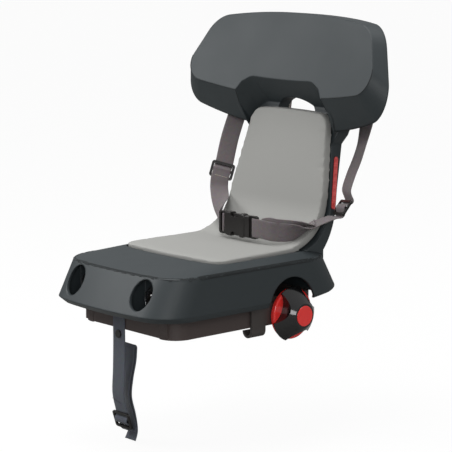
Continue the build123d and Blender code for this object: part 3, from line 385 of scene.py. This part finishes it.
def smooth_path(points):
    """Catmull-Rom curve through the points, with WEB_STEPS samples to each span."""
    points = [Vector(p) for p in points]
    last = len(points) - 1
    path = []
    for i in range(last):
        a = points[max(i - 1, 0)]
        b = points[i]
        c = points[i + 1]
        d = points[min(i + 2, last)]
        for k in range(WEB_STEPS):
            s = k / WEB_STEPS
            bend = (2 * a - 5 * b + 4 * c - d) * s * s
            sway = (3 * b - a - 3 * c + d) * s ** 3
            path.append(0.5 * (2 * b + (c - a) * s + bend + sway))
    return path + [points[last]]


def webbing_outline(width):
    """Cross-section of webbing in mm: flat faces in lanes, and rounded edges."""
    half = width / 2
    thick = WEB_T / 2
    corner = half - thick * (1 - WEB_CORNER)
    rise = thick * WEB_CORNER
    lanes = [-half + thick + (width - WEB_T) * k / WEB_LANES for k in range(WEB_LANES + 1)]
    ring = [(lane, thick) for lane in lanes]
    ring += [(corner, rise), (half, 0), (corner, -rise)]
    ring += [(lane, -thick) for lane in lanes[::-1]]
    ring += [(-corner, -rise), (-half, 0), (-corner, rise)]
    return ring


def ribbon(name, points, across, width, slot):
    """Flat webbing along points in mm, with rounded edges and a UV map in metres."""
    path = smooth_path(points)
    sides = smooth_path(across)
    ring = webbing_outline(width)
    count = len(ring)
    last = len(path) - 1
    verts, run, far = [], [], 0.0
    for i, here in enumerate(path):
        before = path[max(i - 1, 0)]
        along = (path[min(i + 1, last)] - before).normalized()
        side = (sides[i] - along * sides[i].dot(along)).normalized()
        up = along.cross(side)
        far += (here - before).length
        run.append(far)
        verts += [(here + side * u + up * v) * MM for u, v in ring]
    faces = [
        (i * count + k, i * count + (k + 1) % count, (i + 1) * count + (k + 1) % count, (i + 1) * count + k)
        for i in range(last)
        for k in range(count)
    ]
    faces += [tuple(range(count))[::-1], tuple(range(last * count, (last + 1) * count))]
    mesh = bpy.data.meshes.new(name)
    mesh.from_pydata(verts, [], faces)
    layer = mesh.uv_layers.new(name="webbing")
    for loop in mesh.loops:
        row, lane = divmod(loop.vertex_index, count)
        layer.data[loop.index].uv = (run[row] * MM, ring[lane][0] * MM)
    build = bmesh.new()
    build.from_mesh(mesh)
    bmesh.ops.recalc_face_normals(build, faces=build.faces)
    build.to_mesh(mesh)
    build.free()
    mesh.polygons.foreach_set("use_smooth", [True] * len(mesh.polygons))
    return mesh_object(name, mesh, materials[slot])


def glide(centre, along, side):
    """Centre, run, sideways and forward normal of a slider."""
    run = Vector(along).normalized()
    across = Vector(side)
    across = (across - run * across.dot(run)).normalized()
    normal = run.cross(across)
    if normal.dot(GLIDE_FRONT) < 0:
        normal = -normal
    return Vector(centre), run, across, normal


def weave(place, ease, leave):
    """Strap points through a slider: in behind it, over its bar, and out behind (-1) or in front (1).

    The first point lies further behind by ease.
    """
    centre, run, _, normal = place
    lift = GLIDE_T / 2 + WEB_T / 2 + GLIDE_GAP
    steps = [(-GLIDE_END, -lift - ease), (-GLIDE_SLOT, -lift), (-GLIDE_BAR, lift), (GLIDE_BAR, lift)]
    steps += [(GLIDE_SLOT, leave * lift), (GLIDE_END, leave * lift)]
    return [centre + run * s + normal * h for s, h in steps]


# Sliders, placed as in the CAD source
glide_left = glide((129, 90, 161), (-0.12, -0.6, -0.79), (0.93, -0.15, 0.3))
glide_right = glide((-125, 77.5, 191), (0.08, -0.42, -0.9), (0.66, 0.75, 0))
glide_safety = glide((SAFETY_X, -213, -136), (0, 0.3, -0.954), (1, 0, 0))

# Left strap: from its bolt behind the headrest, round the edge, down through its slider, along the
# lap as the belt and into the buckle
LEANT = (0, BACK_LEAN, 1)
left_points = [
    (ANCHOR.x - 14, ANCHOR.y, ANCHOR.z),
    (ANCHOR.x + 14, ANCHOR.y, ANCHOR.z),
    (96, ANCHOR.y, ANCHOR.z),
    (112, ANCHOR.y - 0.5, ANCHOR.z - 5),
    (122, ANCHOR.y - 1.5, ANCHOR.z - 20),
    (125, 143, 288),
    (125, 140, 272),
    (125, 133, 250),
    (125, 123, 228),
    (126, 110, 207),
    (128, 99.5, 186),
]
left_across = [LEANT, LEANT, LEANT, (0.3, 0, 1), (0.8, 0, 0.6), (1, 0, 0), (0.97, -0.15, 0)]
left_across += [(0.93, -0.32, 0)] * 4
left_points += weave(glide_left, 0.7, -1)
left_across += [glide_left[2]] * 6
belt = [
    (123, 73, 147),
    (117.5, 57, 142),
    (107.5, 45.5, 136),
    (97, 35, 130),
    (87, 24, 126),
    (77, 13, 126),
    (69, 4, 127),
    (BUCKLE.x + 56, BUCKLE.y - 0.5, 128.5),
    (BUCKLE.x + 46, BUCKLE.y - 3, BUCKLE.z),
    (BUCKLE.x + 40, BUCKLE.y - 3.7, BUCKLE.z),
    (BUCKLE.x + 34, BUCKLE.y - 3.8, BUCKLE.z),
    (BUCKLE.x + 30.6, BUCKLE.y - 3.4, BUCKLE.z),
    (BUCKLE.x + 28.4, BUCKLE.y, BUCKLE.z),
]
belt_across = [(0.95, -0.3, 0)] * 3 + [(0.6, -0.4, 0.65), (0.2, -0.15, 0.95)] + [(0, 0, 1)] * 8
left_points += belt
left_across += belt_across

# Right strap: likewise, and it turns on edge on its way to the buckle
right_points = [
    (-ANCHOR.x + 14, ANCHOR.y, ANCHOR.z),
    (-ANCHOR.x - 14, ANCHOR.y, ANCHOR.z),
    (-96, ANCHOR.y, ANCHOR.z),
    (-114, ANCHOR.y - 1.5, ANCHOR.z - 4),
    (-128, ANCHOR.y - 13, ANCHOR.z - 17),
    (-137, 126, 290),
    (-139, 122, 276),
    (-133, 101, 240),
]
right_across = [LEANT, LEANT, LEANT, (-0.3, 0, 1), (-0.7, -0.4, 0.6), (-0.8, -0.6, 0.1)]
right_across += [(-0.7, -0.72, 0), (-0.66, -0.75, 0)]
right_points += weave(glide_right, 0, 1)
right_across += [-glide_right[2]] * 6
right_points += [
    (-119, 66, 167),
    (-109, 58.5, 158),
    (-91, 45, 148),
    (-72, 29, 141),
    (-60, 18, 136),
    (-53, 9, 131),
    (BUCKLE.x - 52, BUCKLE.y + 4.6, BUCKLE.z),
    (BUCKLE.x - 47, BUCKLE.y + 4, BUCKLE.z),
    (BUCKLE.x - 41, BUCKLE.y + 4.1, BUCKLE.z),
    (BUCKLE.x - 37.5, BUCKLE.y + 0.2, BUCKLE.z),
    (BUCKLE.x - 35.4, BUCKLE.y - 3.4, BUCKLE.z),
    (BUCKLE.x - 32.4, BUCKLE.y - 3.6, BUCKLE.z),
]
right_across += [(-0.66, -0.75, 0), (-0.66, -0.74, -0.08), (-0.56, -0.6, -0.55)]
right_across += [(-0.3, -0.3, -0.9), (-0.1, -0.1, -1)] + [(0, 0, -1)] * 7

strap_left = ribbon("webbing_left", left_points, left_across, WEB_W, "harness_webbing")
keep(strap_left, "harness_webbing", "harness_strap_left")
strap_right = ribbon("webbing_right", right_points, right_across, WEB_W, "harness_webbing")
keep(strap_right, "harness_webbing", "harness_strap_right")

# Free end of the belt, folded back behind its front layer
FOLD_OFFSET = Vector((4, 5, 5))
fold_points = [Vector(p) + FOLD_OFFSET for p in belt[2:8]]
fold_points += [(BUCKLE.x + 47, BUCKLE.y + 3.6, BUCKLE.z + 1)]
belt_fold = ribbon("webbing_fold", fold_points, belt_across[2:9], WEB_W, "harness_webbing")
keep(belt_fold, "harness_webbing")


def tab_y(z):
    """Y of the middle of a tab at a height, on the leaning back plate."""
    return BACK_Y + (z - BACK_Z) * BACK_LEAN + TAB_LIFT


for side, name in ((-1, "right"), (1, "left")):
    tab_points = [(side * ANCHOR.x, tab_y(z), z) for z in (336, 324, 300, 284)]
    tab = ribbon("webbing_tab_" + name, tab_points, [(1, 0, 0)] * 4, WEB_W, "harness_webbing")
    # Paler webbing on the tabs: painted light, as they hang in shade behind the back plate and headrest
    tab.data.materials[0] = painted_light_tab_webbing
    keep(tab, "harness_webbing", "strap_tab_" + name)

# Safety strap: down the front, through its slider, up in a loop and down to its end
safety = [(SAFETY_X, SAFETY_Y, z) for z in (37, 20, 0, -20)]
safety += [(SAFETY_X, SAFETY_Y - 1, -60), (SAFETY_X, SAFETY_Y - 2.5, -95)]
safety += weave(glide_safety, 0, -1)
safety_across = [(1, 0, 0)] * len(safety)
# Y and Z of the loop, and how far it is twisted towards the front
safety_loop = [
    (-203.4, -152.4, 0.0), (-201, -153.2, 0.0), (-198.8, -151.5, 0.0), (-197.8, -146, 0.05),
    (-200, -128, 0.25), (-205.5, -100, 0.42), (-204.5, -75, 0.3), (-201, -50, 0.1), (-200.5, -35, 0.05),
    (-199.7, -28.5, 0.05), (-197.5, -25.5, 0.05), (-195.3, -28.5, 0.05), (-195.5, -35, 0.05),
    (-196.5, -50, 0.1), (-199.5, -75, 0.3), (-200.5, -100, 0.42), (-195, -128, 0.3), (-193, -152, 0.2),
    (-199, -168, 0.1),
]
safety += [(SAFETY_X, y, z) for y, z, _ in safety_loop]
safety_across += [(1, -twist, 0) for _, _, twist in safety_loop]
strap_safety = ribbon("webbing_safety", safety, safety_across, SAFETY_W, "safety_webbing")
keep(strap_safety, "safety_webbing", "safety_strap")


def line_tree(name, sizes):
    """New tree with inputs for lines, sizes and a finish; returns it, its inputs and the lines' curve."""
    tree = bpy.data.node_groups.new(name, "GeometryNodeTree")
    face = tree.interface
    face.new_socket("Lines", in_out="INPUT", socket_type="NodeSocketGeometry")
    for label in sizes:
        face.new_socket(label, in_out="INPUT", socket_type="NodeSocketFloat")
    face.new_socket("Finish", in_out="INPUT", socket_type="NodeSocketMaterial")
    face.new_socket("Laid", in_out="OUTPUT", socket_type="NodeSocketGeometry")
    given = add(tree, "NodeGroupInput").outputs
    curve = add(tree, "GeometryNodeMeshToCurve", Mesh=given["Lines"]).outputs[0]
    return tree, given, curve


def close_tree(tree, given, geometry):
    """Ends a tree with plain geometry that has its finish."""
    real = add(tree, "GeometryNodeRealizeInstances", Geometry=geometry)
    done = add(tree, "GeometryNodeSetMaterial", Geometry=real.outputs["Geometry"], Material=given["Finish"])
    add(tree, "NodeGroupOutput", {0: done.outputs["Geometry"]})
    return tree


def stitch_tree():
    """Lays stitches of given pitch, length and radius along edges."""
    tree, given, curve = line_tree("stitches", ("Pitch", "Length", "Radius"))
    spaced = add(tree, "GeometryNodeCurveToPoints", mode="LENGTH", Curve=curve, Length=given["Pitch"])
    stick = add(tree, "GeometryNodeMeshCylinder", Vertices=6, Radius=given["Radius"], Depth=given["Length"])
    turn = add(tree, "FunctionNodeAlignRotationToVector", axis="Z", Vector=spaced.outputs["Tangent"])
    laid = add(
        tree, "GeometryNodeInstanceOnPoints",
        Points=spaced.outputs["Points"], Instance=stick.outputs["Mesh"], Rotation=turn.outputs["Rotation"],
    )
    return close_tree(tree, given, laid.outputs["Instances"])


def crease_shade_tree():
    """Lays a round line of given radius along edges."""
    tree, given, curve = line_tree("crease_shade_lines", ("Radius",))
    ring = add(tree, "GeometryNodeCurvePrimitiveCircle", Resolution=6, Radius=given["Radius"])
    tube = add(tree, "GeometryNodeCurveToMesh", Curve=curve, Profile_Curve=ring.outputs[0], Fill_Caps=True)
    return close_tree(tree, given, tube.outputs[0])


STITCHES = stitch_tree()
CREASE_SHADE_TREE = crease_shade_tree()


def lay(name, lines, tree, radius, finish, slot):
    """One piece of stitches or of painted crease shade along lines of points in mm."""
    verts, edges = [], []
    for line in lines:
        first = len(verts)
        verts += [Vector(p) * MM for p in line]
        edges += [(first + i, first + i + 1) for i in range(len(line) - 1)]
    mesh = bpy.data.meshes.new(name)
    mesh.from_pydata(verts, edges, [])
    obj = mesh_object(name, mesh, finish)
    laid = obj.modifiers.new("lines", "NODES")
    laid.node_group = tree
    inputs = {
        "Pitch": STITCH_PITCH * MM,
        "Length": STITCH_LONG * MM,
        "Radius": radius * MM,
        "Finish": finish,
    }
    for item in tree.interface.items_tree:
        if item.in_out == "INPUT" and item.name in inputs:
            laid[item.identifier] = inputs[item.name]
    plain_mesh(obj)
    keep(obj, slot)


def cross_stitch(centre, side, up, face):
    """Box with a cross, sewn on the face of a strap."""
    middle = Vector(centre) + Vector(face) * (WEB_T / 2 + STITCH_LIFT)
    corner = [
        middle + Vector(side) * (CROSS_HALF_W * a) + Vector(up) * (CROSS_HALF_H * b)
        for a, b in ((-1, -1), (1, -1), (1, 1), (-1, 1))
    ]
    return [corner + corner[:1], [corner[0], corner[2]], [corner[1], corner[3]]]


# Cross stitch on each tab
CROSS_X = 45.0
CROSS_Z = 297.0
tab_lines = []
for side in (-1, 1):
    middle = (side * CROSS_X, tab_y(CROSS_Z), CROSS_Z)
    tab_lines += cross_stitch(middle, (1, 0, 0), LEANT, (0, -1, BACK_LEAN))
lay("stitches_tabs", tab_lines, STITCHES, STITCH_R, cream_thread, "harness_webbing")

# Row of stitches over the lower end of the right slider: how far below and in front of the slider's
# middle it lies, and its two ends
ROW_BELOW = 10
ROW_LIFT = GLIDE_T / 2 + WEB_T + 0.45
ROW_ENDS = (-8, 9)
centre, run, across, normal = glide_right
row_middle = centre + run * ROW_BELOW + normal * ROW_LIFT
slider_row = [row_middle + across * s for s in ROW_ENDS]
lay("stitches_slider_right", [slider_row], STITCHES, STITCH_R, cream_thread, "harness_webbing")

# Row of stitches above the safety slider
safety_row = [(SAFETY_X - 12, SAFETY_Y - 3.7, -104), (SAFETY_X + 6, SAFETY_Y - 3.7, -108)]
lay("stitches_safety", [safety_row], STITCHES, STITCH_R, dark_thread, "safety_webbing")


def creases(name, turn, wanted):
    """Convex creases of a CAD node that turn enough and pass a test of their two ends, as pairs in mm."""
    build = bmesh.new()
    build.from_mesh(nodes[name].data)
    bmesh.ops.remove_doubles(build, verts=build.verts, dist=WELD * MM)
    found = []
    for edge in build.edges:
        ends = [v.co / MM for v in edge.verts]
        turned = len(edge.link_faces) == 2 and edge.is_convex and edge.calc_face_angle() > radians(turn)
        if turned and wanted(*ends):
            found.append(ends)
    build.free()
    return found


def on_seat_crease(a, b):
    """The level edges of the rounding along the sides and front of the seat part."""
    low, high = SEAT_CREASE_Z
    level = abs(a.z - b.z) < LEVEL_SLOPE * (a - b).length
    outside = abs(a.x) > SEAT_CREASE_SIDE or a.y < SEAT_CREASE_FRONT
    return level and outside and low < a.z < high and a.y < SEAT_CREASE_REAR


def on_head_crease(a, b):
    """The lower edges of the headrest's face, beside the scoop."""
    low, high = HEAD_CREASE_Z
    return abs(a.x) > HEAD_CREASE_SIDE and max(a.y, b.y) < HEAD_CREASE_Y and low < a.z < high


# Near-black lines on the creases of both shells: painted shade along the seat's rounding and the headrest's
# lower creases
crease_shade_lines = creases("seat_shell", SEAT_CREASE_TURN, on_seat_crease)
crease_shade_lines += creases("back_shell", HEAD_CREASE_TURN, on_head_crease)
lay("painted_crease_shade", crease_shade_lines, CREASE_SHADE_TREE, CREASE_SHADE_R, crease_shade_plastic, "shell_plastic")


def photo_camera():
    """Camera of the photograph."""
    azimuth = radians(PHOTO_AZIMUTH)
    elevation = radians(PHOTO_ELEVATION)
    back = Vector((sin(azimuth) * cos(elevation), -cos(azimuth) * cos(elevation), sin(elevation)))
    camera = bpy.data.objects.new("photo_camera", bpy.data.cameras.new("photo_camera"))
    scene.collection.objects.link(camera)
    camera.location = PHOTO_PLACE
    camera.rotation_euler = back.to_track_quat("Z", "Y").to_euler()
    camera.data.lens = PHOTO_LENS
    camera.data.sensor_width = PHOTO_SENSOR
    return camera


def studio_world():
    """Soft light that fades towards the ground; the camera itself sees plain white."""
    world = bpy.data.worlds.new("studio")
    world.use_nodes = True
    tree = world.node_tree
    sky = tree.nodes["Background"]
    sky.inputs["Color"].default_value = (1, 1, 1, 1)
    place = add(tree, "ShaderNodeTexCoord").outputs["Generated"]
    height = add(tree, "ShaderNodeSeparateXYZ", Vector=place).outputs["Z"]
    glow = add(
        tree, "ShaderNodeMapRange",
        Value=height, From_Min=-0.3, From_Max=1.0, To_Min=0.15, To_Max=0.6,
    )
    seen = add(tree, "ShaderNodeLightPath").outputs["Is Camera Ray"]
    level = add(tree, "ShaderNodeMix", {0: seen, 2: glow.outputs["Result"], 3: 1.0}, data_type="FLOAT")
    tree.links.new(level.outputs[0], sky.inputs["Strength"])
    return world


def lamp(name, place, energy, size):
    """Soft square lamp that looks at the seat."""
    light = bpy.data.objects.new(name, bpy.data.lights.new(name, "AREA"))
    scene.collection.objects.link(light)
    light.location = place
    light.rotation_euler = (Vector(place) - LAMPS_LOOK_AT).to_track_quat("Z", "Y").to_euler()
    light.data.energy = energy
    light.data.size = size


def floor_paper():
    """Pale paper: white to the camera save for the shadow, dim to all other rays."""
    made, tree, shader = new_material("floor_paper", PAPER, 0.9)
    place = add(tree, "ShaderNodeTexCoord").outputs["Object"]
    fibre = add(tree, "ShaderNodeTexNoise", Vector=place, Scale=1 / (PAPER_FIBRE * MM))
    bump = add(tree, "ShaderNodeBump", Height=fibre.outputs["Fac"], Distance=0.05 * MM, Strength=0.3)
    tree.links.new(bump.outputs["Normal"], shader.inputs["Normal"])
    seen = add(tree, "ShaderNodeLightPath").outputs["Is Camera Ray"]
    tone = add(tree, "ShaderNodeMix", {0: seen, 6: linear(PAPER_DIM), 7: linear(PAPER)}, data_type="RGBA")
    tree.links.new(tone.outputs[2], shader.inputs["Base Color"])
    white = add(tree, "ShaderNodeEmission", Color=(1, 1, 1, 1), Strength=1.0)
    share = add(tree, "ShaderNodeMath", {0: seen, 1: FLOOR_WHITE_SHARE}, operation="MULTIPLY")
    both = add(
        tree, "ShaderNodeMixShader",
        {0: share.outputs[0], 1: shader.outputs[0], 2: white.outputs[0]},
    )
    tree.links.new(both.outputs[0], tree.nodes["Material Output"].inputs["Surface"])
    return made


def floor():
    """Wide flat floor under the hanging strap."""
    build = bmesh.new()
    bmesh.ops.create_grid(build, x_segments=1, y_segments=1, size=FLOOR_HALF)
    bmesh.ops.translate(build, verts=build.verts, vec=(0, 0, FLOOR_Z))
    mesh = bpy.data.meshes.new("floor")
    build.to_mesh(mesh)
    build.free()
    return mesh_object("floor", mesh, floor_paper())


# Studio: soft light from above, from the left, from the camera and from the right
scene.camera = photo_camera()
scene.world = studio_world()
lamp("top", (-0.3, -0.3, 2.6), 42, 1.4)
lamp("key", (-0.75, -0.95, 0.85), 7.5, 0.5)
lamp("fill", (2.3, -2.2, 0.9), 26, 1.2)
lamp("rim", (2.5, 1.0, 1.6), 7, 0.7)
floor()

scene.view_settings.view_transform = "Standard"
